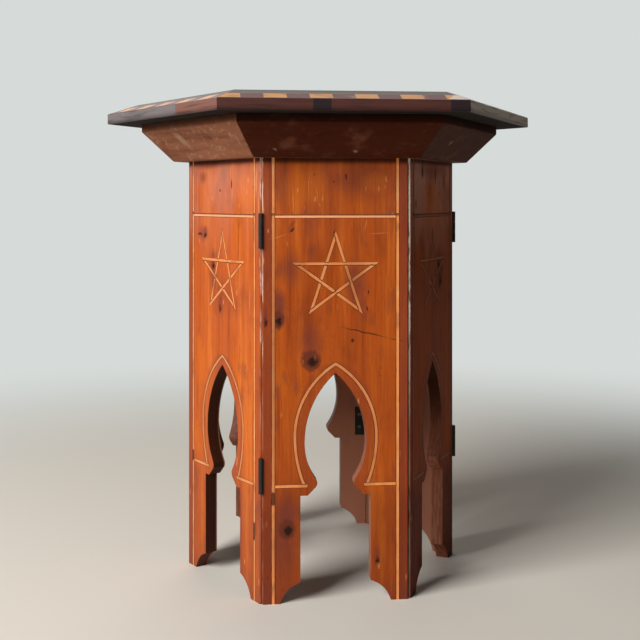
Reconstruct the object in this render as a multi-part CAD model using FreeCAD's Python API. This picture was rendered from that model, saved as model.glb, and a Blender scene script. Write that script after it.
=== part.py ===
import FreeCAD, Part
import math
import os

# An inlaid six-sided folding table: a loose top with a canted apron stands on six arched panels.
# The panels are hinged to each other by turns on the inside and on the outside of their mitred
# corners, so that the base folds flat like a concertina once the top is off.
# The origin is on the floor under the middle of the table, +Z is up and the front panel faces -Y.
# All sizes are in millimetres and all angles in degrees.

# The base: six mitred panels.
side_length = 150.0
panel_height = 445.0
panel_thickness = 14.0
arris_width = 1.8
joint_gap = 0.8

# The arched opening of a panel, from the floor and from the panel's middle line.
arch_apex_height = 229.5
arch_widest_height = 160.0
arch_half_width = 31.3
cusp_half_gap = 18.5
cusp_ledge_height = 107.3
cusp_nose_rise = 12.2
cusp_radius = 6.0
cusp_slope = 45.0
leg_half_gap = 35.5
foot_cut_size = 20.5
foot_cut_hollow = 3.8

# The strings inlaid in a panel's outer face.
string_width = 3.2
string_depth = 1.2
border_margin = 12.2
rail_string_height = 386.5
springing_string_height = 117.0
arch_string_apex_height = 238.5
arch_string_widest_height = 166.0
arch_string_half_width = 41.2
arch_string_foot_half_width = 31.5

# The five-pointed star inlaid above the arch.
star_centre_height = 326.0
star_radius = 46.5
star_strip_width = 2.8

# The butt hinges, two to a corner. Their barrels are small, so they are made with few sides.
barrel_sides = 8
lower_hinge_height = 128.0
upper_hinge_height = 372.0
hinge_length = 35.0
leaf_width = 13.5
leaf_thickness = 1.2
knuckle_radius = 2.4
knuckle_end_play = 0.2
barrel_clearance = 0.4
pin_radius = 1.1
pin_clearance = 0.05

# The countersunk hinge screws, two to a leaf. They are small, so they are made with few sides.
screw_sides = 6
screw_spacing = 15.0
screw_setback = 8.0
screw_head_radius = 2.2
screw_shank_radius = 1.0
screw_length = 7.0
screw_clearance = 0.05

# The apron: six canted boards under the top.
apron_height = 41.0
apron_overhang = 16.0
apron_flare = 35.0
apron_thickness = 9.0

# The top: a bevelled board with a lipped rim.
rim_height = 11.0
rim_overhang = 37.0
bevel_width = 33.0
bevel_rise = 10.5
lipping_thickness = 2.0

# The chequer band on the bevel and the inlay of the flat field.
chequer_blocks = 11
chequer_width = 15.0
chequer_depth = 1.5
field_string_inset = 22.0
field_star_radius = 78.0
field_star_strip_width = 4.0

# The bearers that rest on the panels, and the tapered blocks that keep the top in place.
bearer_height = 18.0
bearer_reach = 16.0
locating_block_reach = 25.0
locating_block_depth = 14.0
locating_block_taper = 20.0
locating_clearance = 0.5

# Sizes that follow from those above.
SIDES = 6
TURN = 360.0 / SIDES
TAN_HALF = math.tan(math.radians(TURN / 2))
COS_HALF = math.cos(math.radians(TURN / 2))
panel_apothem = side_length * COS_HALF
inner_corner_radius = side_length - panel_thickness / COS_HALF
axis_offset = joint_gap / 2 / COS_HALF
soffit_height = panel_height + apron_height
rim_top_height = soffit_height + rim_height
field_height = rim_top_height + bevel_rise
apron_foot_apothem = (side_length + apron_overhang) * COS_HALF
apron_head_apothem = apron_foot_apothem + apron_flare * COS_HALF
rim_apothem = apron_head_apothem + rim_overhang * COS_HALF
field_apothem = rim_apothem - bevel_width * COS_HALF
bevel_run = rim_apothem - field_apothem
bevel_angle = math.atan2(bevel_rise, bevel_run)

PANELS = ("front", "right_front", "right_back", "back", "left_back", "left_front")

# Each hinged corner: its name, the panels before and after it, the face that the hinges are on, and
# the panel that carries the outer knuckles. The corner between back and left_back is left open.
HINGED_CORNERS = (
    ("front_right", "front", "right_front", "inner", "front"),
    ("right", "right_front", "right_back", "outer", "right_front"),
    ("back_right", "right_back", "back", "inner", "right_back"),
    ("left", "left_back", "left_front", "inner", "left_front"),
    ("front_left", "left_front", "front", "outer", "front"),
)

RIGHT = FreeCAD.Vector(1, 0, 0)
BACK = FreeCAD.Vector(0, 1, 0)
UP = FreeCAD.Vector(0, 0, 1)
ORIGIN = FreeCAD.Vector(0, 0, 0)


def point(x, y, z):
    """Return a point of the table's frame."""
    return FreeCAD.Vector(x, y, z)


def turned(shape, steps):
    """Return a copy turned about the table's middle by whole or part sixths of a turn."""
    return shape.rotated(ORIGIN, UP, TURN * steps)


def mirrored_across(shape):
    """Return a copy mirrored from right to left."""
    return shape.mirror(ORIGIN, RIGHT)


def box(x_range, y_range, z_range):
    """Return a box between three pairs of limits."""
    size = [high - low for low, high in (x_range, y_range, z_range)]
    return Part.makeBox(*size, point(x_range[0], y_range[0], z_range[0]))


def line(start, end):
    """Return a straight edge."""
    return Part.LineSegment(start, end).toShape()


def polygon_face(points):
    """Return the flat face inside a closed run of points."""
    return Part.Face(Part.makePolygon(list(points) + [points[0]]))


def flat_sided(start, end):
    """Return the solid between two outlines with as many corners, whose sides are all flat."""
    outlines = [start, end]
    for index in range(len(start)):
        outlines.append([start[index - 1], start[index], end[index], end[index - 1]])
    return Part.Solid(Part.Shell([polygon_face(outline) for outline in outlines]))


def pointed(base, tip):
    """Return the solid between an outline and a tip."""
    sides = [polygon_face([base[index - 1], base[index], tip]) for index in range(len(base))]
    return Part.Solid(Part.Shell([polygon_face(base)] + sides))


def mitred_bar(profile):
    """Return the front bar of a six-sided ring, from (apothem, height) points of its section."""
    left = [point(-apothem * TAN_HALF, -apothem, height) for apothem, height in profile]
    right = [point(apothem * TAN_HALF, -apothem, height) for apothem, height in profile]
    return flat_sided(left, right)


def around(centre, radius, sides, first, second):
    """Return the corners of a regular outline in the plane of two directions."""
    corners = []
    for step in range(sides):
        a = math.radians(360.0 * step / sides)
        corners.append(centre + first * (radius * math.cos(a)) + second * (radius * math.sin(a)))
    return corners


# Panels: the outline of the opening.


def panel_arc(centre_u, centre_v, radius, start, end):
    """Return an arc in the outer face of the front panel, by its centre and its end angles."""
    def at(angle):
        a = math.radians(angle)
        return point(centre_u + radius * math.cos(a), -panel_apothem, centre_v + radius * math.sin(a))
    return Part.Arc(at(start), at((start + end) / 2), at(end)).toShape()


def bulge_radius(half_width, rise, reach=0.0):
    """Return the radius of an arc that is upright where it is widest and falls back over a rise."""
    inset = half_width - reach
    return (inset ** 2 + rise ** 2) / (2 * inset)


def opening_half():
    """Return the edges of the opening's right half, from the floor up to the apex."""
    cusp_u = cusp_half_gap + cusp_radius
    cusp_v = cusp_ledge_height + cusp_nose_rise
    lead = cusp_u - arch_half_width
    drop = arch_widest_height - cusp_v
    haunch_radius = (lead ** 2 + drop ** 2 - cusp_radius ** 2) / (2 * (cusp_radius - lead))
    haunch_u = arch_half_width - haunch_radius
    meeting_angle = math.degrees(math.atan2(-drop, cusp_u - haunch_u))
    rise = arch_apex_height - arch_widest_height
    upper_radius = bulge_radius(arch_half_width, rise)
    upper_u = arch_half_width - upper_radius
    apex_angle = math.degrees(math.atan2(rise, -upper_u))
    face = -panel_apothem
    foot = point(leg_half_gap + foot_cut_size, face, 0)
    shin = point(leg_half_gap, face, foot_cut_size)
    hollow = (foot + shin) / 2 + (RIGHT + UP) * (foot_cut_hollow * math.sqrt(0.5))
    nose = panel_arc(cusp_u, cusp_v, cusp_radius, 270 - cusp_slope, 180 + meeting_angle)
    chin = nose.Vertexes[0].Point
    ledge_u = chin.x + (chin.z - cusp_ledge_height) / math.tan(math.radians(cusp_slope))
    ledge = point(ledge_u, face, cusp_ledge_height)
    knee = point(leg_half_gap, face, cusp_ledge_height)
    return [
        line(foot - UP * panel_thickness, foot),
        Part.Arc(foot, hollow, shin).toShape(),
        line(shin, knee),
        line(knee, ledge),
        line(ledge, chin),
        nose,
        panel_arc(haunch_u, arch_widest_height, haunch_radius, meeting_angle, 0),
        panel_arc(upper_u, arch_widest_height, upper_radius, 0, apex_angle),
    ]


def opening_cutter():
    """Return the solid that cuts the arch, the gap between the legs and the foot coves."""
    half = opening_half()
    foot = half[0].Vertexes[0].Point
    sill = line(point(-foot.x, foot.y, foot.z), foot)
    other = [mirrored_across(edge) for edge in half]
    outline = Part.Wire(Part.__sortEdges__(half + other + [sill]))
    return Part.Face(outline).extrude(point(0, panel_thickness, 0))


# Panels: the inlay.


def inlay_in_face(outline_edges):
    """Return a strip let into the front panel's outer face from a closed run of edges."""
    wire = Part.Wire(Part.__sortEdges__(outline_edges))
    return Part.Face(wire).extrude(point(0, string_depth, 0))


def border_strings():
    """Return the two upright strings, the rail string and the two springing strings."""
    depth = (-panel_apothem, -panel_apothem + string_depth)
    half = string_width / 2
    upright_u = side_length / 2 - border_margin
    inner_u = upright_u - half
    springing_end = arch_string_foot_half_width - string_width
    rail = (rail_string_height - half, rail_string_height + half)
    springing = (springing_string_height - half, springing_string_height + half)
    upright = box((inner_u, upright_u + half), depth, (0, panel_height))
    springer = box((springing_end, inner_u), depth, springing)
    return [
        upright,
        mirrored_across(upright),
        box((-inner_u, inner_u), depth, rail),
        springer,
        mirrored_across(springer),
    ]


def arch_strings():
    """Return the two halves of the string that follows the arch, met in a mitre at the apex."""
    half = string_width / 2
    foot_v = springing_string_height + half
    rise = arch_string_apex_height - arch_string_widest_height
    drop = arch_string_widest_height - springing_string_height
    upper_radius = bulge_radius(arch_string_half_width, rise)
    lower_radius = bulge_radius(arch_string_half_width, drop, arch_string_foot_half_width)
    upper_u = arch_string_half_width - upper_radius
    lower_u = arch_string_half_width - lower_radius
    edges = []
    apexes = []
    feet = []
    for offset in (-half, half):
        upper = upper_radius + offset
        lower = lower_radius + offset
        apex_angle = math.degrees(math.acos(-upper_u / upper))
        foot_angle = math.degrees(math.asin((foot_v - arch_string_widest_height) / lower))
        edges.append(panel_arc(upper_u, arch_string_widest_height, upper, 0, apex_angle))
        edges.append(panel_arc(lower_u, arch_string_widest_height, lower, foot_angle, 0))
        apexes.append(edges[-2].Vertexes[-1].Point)
        feet.append(edges[-1].Vertexes[0].Point)
    edges.append(line(*apexes))
    edges.append(line(*feet))
    right = inlay_in_face(edges)
    return [right, mirrored_across(right)]


def star_strips(radius, strip_width, depth):
    """Return the strips of a five-pointed star in the XZ plane, each cut round the ones before it."""
    reach = radius * math.sin(math.radians(72))
    edge = radius * math.cos(math.radians(72))
    inset = strip_width / math.tan(math.radians(36))
    strips = []
    for step in range(5):
        strip = polygon_face([
            point(-reach, 0, edge),
            point(reach, 0, edge),
            point(reach - inset, 0, edge - strip_width),
            point(inset - reach, 0, edge - strip_width),
        ]).extrude(point(0, depth, 0))
        strip.rotate(ORIGIN, BACK, 72 * step)
        if strips:
            strip = strip.cut(strips)
        strips.extend(strip.Solids)
    return strips


def panel_star():
    """Return the star strips in the front panel's outer face."""
    strips = star_strips(star_radius, star_strip_width, string_depth)
    return [strip.translated(point(0, -panel_apothem, star_centre_height)) for strip in strips]


# Hinges. They are made closed, with the axis on Z and the leaves reaching to -X.


def barrel(radius, spans):
    """Return bars about the hinge axis."""
    bars = []
    for start, end in spans:
        low = around(UP * start, radius, barrel_sides, RIGHT, BACK)
        high = around(UP * end, radius, barrel_sides, RIGHT, BACK)
        bars.append(flat_sided(low, high))
    return bars


def knuckle_spans(outer):
    """Return where a leaf's own knuckles lie along the axis."""
    end = hinge_length / 2
    cut = hinge_length / 6
    play = knuckle_end_play / 2
    if outer:
        return [(-end, -cut - play), (cut + play, end)]
    return [(play - cut, cut - play)]


def other_spans(outer):
    """Return the room that a leaf leaves for the other leaf's knuckles."""
    end = hinge_length / 2
    cut = hinge_length / 6
    play = knuckle_end_play / 2
    if outer:
        return [(-cut - play, cut + play)]
    return [(-end, play - cut), (cut - play, end)]


def screw_places():
    """Return the heads' centres on the leaf that lies to +Y."""
    return [point(-screw_setback, joint_gap / 2, sign * screw_spacing / 2) for sign in (-1, 1)]


def screw(place, clearance=0.0):
    """Return a countersunk wood screw, or the hole for one, driven along +Y."""
    neck = place + BACK * leaf_thickness
    tip = place + BACK * (screw_length + clearance)
    head = around(place, screw_head_radius + clearance, screw_sides, RIGHT, UP)
    shank = around(neck, screw_shank_radius + clearance, screw_sides, RIGHT, UP)
    return flat_sided(head, shank).fuse(pointed(shank, tip)).Solids[0]


def hinge_leaf(outer):
    """Return one leaf on the +Y side, with the two outer knuckles or the middle one."""
    face = joint_gap / 2
    end = hinge_length / 2
    plate = box((-leaf_width, 0), (face, face + leaf_thickness), (-end, end))
    plate = plate.cut(barrel(knuckle_radius + barrel_clearance, other_spans(outer)))
    bore_radius = (pin_radius + pin_clearance) / math.cos(math.pi / barrel_sides)
    bore = barrel(bore_radius, [(-hinge_length, hinge_length)])
    holes = [screw(place, screw_clearance) for place in screw_places()]
    leaf = plate.fuse(barrel(knuckle_radius, knuckle_spans(outer)))
    return leaf.cut(bore + holes).removeSplitter().Solids[0]


def hinge_cutters():
    """Return what is cut from the board on the +Y side: the leaf's bed, the barrel's notch, the holes."""
    end = hinge_length / 2
    bed = box((-leaf_width, 0), (0, joint_gap / 2 + leaf_thickness), (-end, end))
    reach = end + barrel_clearance
    notch = barrel(knuckle_radius + barrel_clearance, [(-reach, reach)])
    return [bed] + notch + [screw(place, screw_clearance) for place in screw_places()]


def corner_place(before):
    """Return a hinged corner's place round the table, in sixths of a turn from +X."""
    return PANELS.index(before) - PANELS.index("right_front")


def at_corner(shape, before, face, side):
    """Return a closed-hinge shape set at both hinge heights of a corner, for the panel on one side."""
    if side < 0:
        shape = shape.mirror(ORIGIN, BACK)
    if face == "inner":
        shape = shape.rotated(ORIGIN, UP, -side * TURN)
        radius = inner_corner_radius - axis_offset
    else:
        radius = side_length + axis_offset
    heights = (lower_hinge_height, upper_hinge_height)
    place = corner_place(before)
    return [turned(shape.translated(point(radius, 0, height)), place) for height in heights]


# The top.


def bevel_height(apothem):
    """Return the height of the bevelled border at a distance from the middle."""
    return rim_top_height + (rim_apothem - apothem) * math.tan(bevel_angle)


def chequer_band():
    """Return the front stretch of the chequer band, let into the bevel."""
    outer = rim_apothem - lipping_thickness
    run = chequer_width * math.cos(bevel_angle)
    back = chequer_depth * math.sin(bevel_angle)
    sink = chequer_depth * math.cos(bevel_angle)
    inner = outer - run
    return mitred_bar([
        (outer, bevel_height(outer)),
        (inner, bevel_height(inner)),
        (inner - back, bevel_height(inner) - sink),
        (outer - back, bevel_height(outer) - sink),
    ])


def chequer_pieces():
    """Return the front band's blocks, in order from left to right."""
    band = chequer_band()
    length = 2 * rim_apothem * TAN_HALF / chequer_blocks
    pieces = []
    for index in range(chequer_blocks):
        start = (index - chequer_blocks / 2) * length
        slot = box((start, start + length), (-rim_apothem, 0), (soffit_height, field_height))
        pieces.append(band.common(slot).Solids[0])
    return pieces


def field_strings():
    """Return the six strings round the flat field."""
    outer = field_apothem - field_string_inset
    inner = outer - string_width
    low = field_height - string_depth
    bar = mitred_bar([(outer, low), (outer, field_height), (inner, field_height), (inner, low)])
    return [turned(bar, step) for step in range(SIDES)]


def field_star():
    """Return the star in the middle of the field, with a point towards the back."""
    strips = star_strips(field_star_radius, field_star_strip_width, string_depth)
    laid = [strip.rotated(ORIGIN, RIGHT, -90) for strip in strips]
    return [strip.translated(point(0, 0, field_height)) for strip in laid]


def lippings():
    """Return the six lippings of the rim."""
    inner = rim_apothem - lipping_thickness
    bar = mitred_bar([
        (rim_apothem, soffit_height),
        (rim_apothem, rim_top_height),
        (inner, bevel_height(inner)),
        (inner, soffit_height),
    ])
    return [turned(bar, step) for step in range(SIDES)]


def six_sided(apothem, height):
    """Return the corners of a level six-sided outline."""
    return around(UP * height, apothem / COS_HALF, SIDES, RIGHT, BACK)


def top_board(inlays):
    """Return the bevelled top board, cut for its inlays."""
    edge = rim_apothem - lipping_thickness
    shoulder = bevel_height(edge)
    slab = flat_sided(six_sided(edge, soffit_height), six_sided(edge, shoulder))
    crown = flat_sided(six_sided(edge, shoulder), six_sided(field_apothem, field_height))
    bands = [turned(chequer_band(), step) for step in range(SIDES)]
    return slab.fuse(crown).cut(bands + inlays).removeSplitter()


def apron_inner(height):
    """Return the apothem of the apron's inner face at a height above its lower edge."""
    cant = math.atan2(apron_head_apothem - apron_foot_apothem, apron_height)
    return apron_foot_apothem + height * math.tan(cant) - apron_thickness / math.cos(cant)


def apron_board():
    """Return the front apron board."""
    return mitred_bar([
        (apron_foot_apothem, panel_height),
        (apron_head_apothem, soffit_height),
        (apron_inner(apron_height), soffit_height),
        (apron_inner(0), panel_height),
    ])


def bearers():
    """Return the six bearers inside the apron's foot."""
    inner = panel_apothem - panel_thickness - bearer_reach
    bar = mitred_bar([
        (apron_inner(0), panel_height),
        (apron_inner(bearer_height), panel_height + bearer_height),
        (inner, panel_height + bearer_height),
        (inner, panel_height),
    ])
    return [turned(bar, step) for step in range(SIDES)]


def locating_block():
    """Return the tapered block that drops between two inner faces, at the corner on +X."""
    def outline(clearance, height):
        nose = inner_corner_radius - clearance / COS_HALF
        half = (nose - back) * math.tan(math.radians(TURN))
        return [point(nose, 0, height), point(back, half, height), point(back, -half, height)]

    root_nose = inner_corner_radius - locating_clearance / COS_HALF
    back = root_nose - locating_block_reach * math.cos(math.radians(TURN))
    draw = locating_block_depth * math.tan(math.radians(locating_block_taper))
    root = outline(locating_clearance, panel_height)
    tip = outline(locating_clearance + draw, panel_height - locating_block_depth)
    return flat_sided(root, tip)


# Putting the table together.


def export(name, solids):
    """Write one node of the table."""
    shape = solids[0] if len(solids) == 1 else Part.makeCompound(solids)
    shape.exportStep(os.path.join("parts", name + ".step"))
    valid = all(solid.isValid() and solid.ShapeType == "Solid" for solid in solids)
    print(f"{name}: {len(solids)} solids, valid {valid}, volume {sum(solid.Volume for solid in solids):.0f}")


def panel_blank():
    """Return the front panel's mitred board, with its outer arrises taken off."""
    half = side_length / 2 - axis_offset
    mitre_start = arris_width * COS_HALF
    right = [
        point(half - arris_width, -panel_apothem, 0),
        point(half - mitre_start * TAN_HALF, mitre_start - panel_apothem, 0),
        point(half - panel_thickness * TAN_HALF, panel_thickness - panel_apothem, 0),
    ]
    left = [point(-corner.x, corner.y, 0) for corner in reversed(right)]
    return polygon_face(right + left).extrude(UP * panel_height)


def make_panels():
    """Write the six boards with their inlays and hinge screws."""
    border = border_strings()
    arch = arch_strings()
    star = panel_star()
    plain = panel_blank().cut([opening_cutter()] + border + arch + star)
    for step, panel in enumerate(PANELS):
        board = turned(plain, step)
        screws = []
        for _, before, after, face, _ in HINGED_CORNERS:
            if panel not in (before, after):
                continue
            side = -1 if panel == before else 1
            for cutter in hinge_cutters():
                board = board.cut(at_corner(cutter, before, face, side))
            for place in screw_places():
                screws.extend(at_corner(screw(place), before, face, side))
        export(panel + "_board", [board.removeSplitter().Solids[0]])
        export(panel + "_border_strings", [turned(solid, step) for solid in border])
        export(panel + "_arch_string", [turned(solid, step) for solid in arch])
        export(panel + "_star", [turned(solid, step) for solid in star])
        export(panel + "_hinge_screws", screws)


def make_hinges():
    """Write the leaves and pins of the five hinged corners."""
    pin = barrel(pin_radius, [(-hinge_length / 2, hinge_length / 2)])[0]
    for name, before, _, face, carrier in HINGED_CORNERS:
        side = -1 if carrier == before else 1
        export(name + "_hinge_fixed_leaves", at_corner(hinge_leaf(True), before, face, side))
        export(name + "_hinge_moving_leaves", at_corner(hinge_leaf(False), before, face, -side))
        export(name + "_hinge_pins", at_corner(pin, before, face, side))


def make_top():
    """Write the top with its apron, bearers and locating blocks."""
    strings = field_strings()
    star = field_star()
    light = []
    dark = []
    for step in range(SIDES):
        for index, piece in enumerate(chequer_pieces()):
            group = light if (index + step) % 2 == 0 else dark
            group.append(turned(piece, step))
    export("top_board", [top_board(strings + star).Solids[0]])
    export("rim_lippings", lippings())
    export("chequer_light_blocks", light)
    export("chequer_dark_blocks", dark)
    export("field_strings", strings)
    export("field_star", star)
    for step, panel in enumerate(PANELS):
        export(panel + "_apron", [turned(apron_board(), step)])
    export("bearers", bearers())
    inner = [before for _, before, _, face, _ in HINGED_CORNERS if face == "inner"]
    export("locating_blocks", [turned(locating_block(), corner_place(before)) for before in inner])


os.makedirs("parts", exist_ok=True)
make_panels()
make_hinges()
make_top()
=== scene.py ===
"""Looks of an inlaid six-sided folding table: its woods, inlay, ironwork, light and camera."""

import math
from collections import namedtuple

import bmesh
import bpy
from mathutils import Matrix, Vector


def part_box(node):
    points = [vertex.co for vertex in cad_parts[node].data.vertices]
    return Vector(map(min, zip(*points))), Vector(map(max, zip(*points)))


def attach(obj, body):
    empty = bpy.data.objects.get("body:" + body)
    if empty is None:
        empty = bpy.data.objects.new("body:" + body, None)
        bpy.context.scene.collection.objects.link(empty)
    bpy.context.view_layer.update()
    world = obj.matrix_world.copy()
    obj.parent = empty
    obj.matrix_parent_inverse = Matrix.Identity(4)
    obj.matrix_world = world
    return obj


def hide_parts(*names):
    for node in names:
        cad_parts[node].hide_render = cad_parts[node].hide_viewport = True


bl_info = {
    "name": "Inlaid Folding Table",
    "version": (1, 0, 0),
    "blender": (4, 5, 0),
    "location": "3D View > Sidebar > Folding Table",
    "description": "Dresses an inlaid six-sided folding table and sets up its light and camera",
    "category": "Object",
}

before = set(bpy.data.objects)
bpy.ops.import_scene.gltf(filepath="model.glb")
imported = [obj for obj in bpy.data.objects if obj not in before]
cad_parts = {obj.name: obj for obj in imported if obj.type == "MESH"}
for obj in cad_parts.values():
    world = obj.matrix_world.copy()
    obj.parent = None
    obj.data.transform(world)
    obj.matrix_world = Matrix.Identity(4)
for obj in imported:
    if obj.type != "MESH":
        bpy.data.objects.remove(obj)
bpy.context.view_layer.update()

# Patterns are worked out in millimetres, and everything else is in metres.
MM = 1000.0
SIDES = 6
TURN = math.tau / SIDES
PANELS = ("front", "right_front", "right_back", "back", "left_back", "left_front")

# Directions on the front side, which the other sides turn about the table's axis.
OUTWARD = Vector((0.0, -1.0, 0.0))
ALONG = Vector((1.0, 0.0, 0.0))
UPWARD = Vector((0.0, 0.0, 1.0))

# Heights on a panel from the floor, in millimetres: the widest part of the arch, the tops of the legs,
# where their varnish begins to darken, the place where it is darkest, and the middles of the star and rail.
ARCH_WIDEST = 166.0
LEG_TOP = 128.0
LEG_DARK = 92.0
STAR_MIDDLE = 326.0
RAIL_MIDDLE = 386.5

# The star's half width, half the width of a string, and how far in from the rim dust and a painted sheen
# lie, in millimetres.
STAR_REACH = 50.0
STRING_HALF = 1.6
DUST_AND_SHEEN_REACH = 19.0

# Slack in metres: in joining loose triangles, and in welding and finding points that lie in one plane.
SAME_POINT = 1e-6
SAME_PLANE = 1e-5

# Faces that meet at less than the first angle are one flat face, and edges past the second are sharp.
FLAT = math.radians(1)
SHARP = math.radians(30)

# How strongly old shellac shines, as the shader's specular level.
GLOSS = 0.12

# Sizes of the front panel, which the other five repeat, and of the rim.
front_low, front_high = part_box("front_board")
_, string_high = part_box("front_border_strings")
_, arch_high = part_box("front_arch_string")
rim_low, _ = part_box("rim_lippings")
_, apron_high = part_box("front_apron")
outer_face = front_low.y
board_half = front_high.x
inner_face = front_high.y - front_low.y
string_edge = string_high.x
rim_reach = outer_face - rim_low.y

# A mark on a panel's face: its middle from the board's middle line and the floor, its half sizes, all
# in millimetres, and how far it is turned from level, in degrees.
Mark = namedtuple("Mark", "u v half_u half_v turn", defaults=(0.0,))


def marked(*rows):
    """Return marks from rows of their numbers."""
    return tuple(Mark(*row) for row in rows)


# The wood inside the arch string, and the star.
ARCH = marked((0.0, ARCH_WIDEST, arch_high.x * MM - 1.0, arch_high.z * MM - ARCH_WIDEST))
STAR = marked((0.0, STAR_MIDDLE, STAR_REACH, STAR_REACH))

KNOTS = {
    "front": marked(
        (-58.0, 283, 6.5, 9.5), (-70.5, 281, 2.2, 5.0), (-25.0, 242, 10.6, 11.0), (-49.0, 74, 9.0, 10.5),
        (42.0, 40, 2.8, 4.5), (-44.0, 373, 1.6, 3.6, 35)),
    "right_front": marked(
        (27.0, 313, 7.0, 9.0), (21.0, 333, 4.5, 5.5), (-3.0, 308, 4.0, 4.0), (-34.0, 432, 3.0, 7.0)),
    "right_back": marked((-38.0, 352, 6.0, 7.0), (46.0, 270, 7.5, 8.5), (52.0, 60, 5.0, 7.0)),
    "back": marked((34.0, 300, 8.0, 9.0), (-48.0, 412, 4.0, 6.0), (-50.0, 150, 5.0, 7.0)),
    "left_back": marked((-30.0, 262, 6.5, 7.5), (48.0, 360, 5.0, 6.0), (50.0, 92, 6.0, 8.0)),
    "left_front": marked((-36.0, 365, 3.5, 3.0), (-19.5, 333, 4.5, 5.5), (-4.5, 288, 3.0, 5.0)),
}

# Small dark pits and resin streaks.
PITS = {
    "front": marked(
        (-1.2, 370, 1.2, 1.6), (10.5, 426, 0.9, 3.2), (-21.8, 428, 0.9, 1.2), (-2.3, 421, 0.8, 1.1),
        (33.0, 310, 0.8, 2.2), (32.0, 294, 0.8, 2.6), (17.0, 262, 1.8, 1.8)),
    "right_front": marked((10.0, 428, 2.0, 9.0), (40.0, 424, 1.8, 7.0), (-55.0, 398, 1.5, 5.0)),
    "right_back": marked((12.0, 410, 1.0, 4.0), (-20.0, 290, 1.2, 2.0)),
    "back": marked((-8.0, 395, 1.0, 3.0), (20.0, 420, 1.2, 1.6)),
    "left_back": marked((5.0, 402, 1.0, 3.5), (-44.0, 330, 1.2, 2.2)),
    "left_front": marked(
        (18.5, 419, 1.3, 4.5), (-4.5, 413, 1.4, 1.4), (61.8, 415, 2.0, 2.6), (-48.0, 366, 6.0, 1.2)),
}

# Broad stains in the wood and the varnish.
STAINS = {
    "front": marked(
        (28.0, 424, 36.0, 24.0), (-54.0, 418, 13.0, 26.0), (-58.0, 300, 9.0, 16.0), (20.0, 320, 14.0, 30.0),
        (-46.0, 334, 14.0, 20.0), (-52.0, 60, 18.0, 55.0), (-62.8, 250, 2.4, 200.0)),
    "right_front": marked((22.0, 320, 20.0, 30.0), (0.0, 436, 60.0, 12.0)),
    "right_back": marked((-30.0, 340, 24.0, 30.0), (30.0, 430, 30.0, 16.0)),
    "back": marked((20.0, 310, 22.0, 34.0), (-30.0, 425, 30.0, 18.0)),
    "left_back": marked((-10.0, 350, 26.0, 24.0), (40.0, 420, 20.0, 22.0)),
    "left_front": marked(
        (-40.0, 366, 13.0, 10.0), (-41.5, 427, 9.0, 8.0), (-30.0, 442, 40.0, 7.0), (-18.0, 318, 7.0, 16.0)),
}

CRACKS = {
    "front": marked((30.0, 269.5, 27.0, 0.7, 13), (62.0, 262, 8.0, 0.6, 12)),
    "right_front": marked((30.0, 250, 0.6, 20.0)),
    "right_back": marked((24.0, 300, 0.5, 30.0)),
    "back": marked((-20.0, 330, 0.5, 60.0)),
    "left_back": marked((15.0, 280, 0.5, 24.0)),
    "left_front": marked((32.0, 350, 0.5, 40.0)),
}

SCRATCHES = {
    "front": marked(
        (-43.0, 402, 0.6, 14.0, -3), (-27.0, 418, 0.5, 12.0, 2), (-19.0, 408, 0.5, 9.0, -5),
        (-73.0, 393, 1.4, 4.0), (-73.0, 342, 1.6, 5.0), (44.0, 369, 10.0, 0.4, -2),
        (30.0, 378, 0.5, 6.0, 8), (-58.0, 366, 10.0, 0.4, -14)),
    "right_front": marked((-40.0, 380, 0.8, 20.0, 3)),
    "right_back": marked((-10.0, 360, 0.6, 12.0, -8)),
    "back": marked((40.0, 380, 0.6, 10.0, 14)),
    "left_back": marked((30.0, 300, 0.6, 14.0, 5)),
    "left_front": marked(
        (16.0, 432, 0.9, 7.0, -6), (54.0, 300, 0.5, 14.0, 3), (72.5, 340, 1.6, 6.0),
        (66.0, 420, 1.6, 16.0, 2), (71.0, 396, 1.2, 18.0, -2)),
}

# Patches that many hands and knocks have covered with fine scratches.
HANDLED = {
    "front": marked((-32.0, 414, 32.0, 24.0), (40.0, 420, 18.0, 14.0)),
    "right_front": marked((0.0, 400, 40.0, 30.0)),
    "right_back": marked((20.0, 410, 36.0, 26.0)),
    "back": marked((-24.0, 405, 34.0, 28.0)),
    "left_back": marked((10.0, 418, 40.0, 20.0)),
    "left_front": marked((48.0, 408, 20.0, 30.0)),
}

# Places where a bit of string has come away.
LOSSES = {
    "front": marked((-62.8, 105, 3.0, 6.5)),
    "right_front": marked((62.8, 60, 3.0, 9.0)),
    "right_back": marked((62.8, 210, 3.0, 5.0)),
    "back": marked((-62.8, 330, 3.0, 6.0)),
    "left_back": marked((62.8, 40, 3.0, 8.0)),
    "left_front": marked((-62.8, 122, 3.0, 6.0), (62.8, 70, 3.0, 9.0)),
}

# Rubbed places on the apron boards.
RUBS = {
    "front": marked((-62.0, 452, 1.8, 1.2), (17.0, 451, 2.0, 1.2)),
    "right_front": marked((-30.0, 462, 4.0, 2.0)),
    "right_back": marked((40.0, 466, 7.0, 3.0, 15)),
    "back": marked((-50.0, 460, 6.0, 3.0, -20)),
    "left_back": marked((10.0, 470, 8.0, 2.5, 8)),
    "left_front": marked((-28.0, 467, 9.5, 5.0, 38), (44.0, 465, 1.4, 1.2)),
}

# How far each side has gone its own way, each as a share of one: redder left and right margins, hazy
# varnish at the head with a painted sheen, dark varnish all over and on the legs, bare wood with a painted
# highlight on its left and right arris, rubbed edges in the arch, a dark inner face, dirty strings, an amber
# star and a dark apron. The inner face's and the apron's shares are partly painted light and shade, and so
# is the right front side's dark varnish all over, as that side faces away from the lamp.
Wear = namedtuple(
    "Wear", "left_margin right_margin haze dark legs left_arris right_arris edges inside strings star apron")

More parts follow.
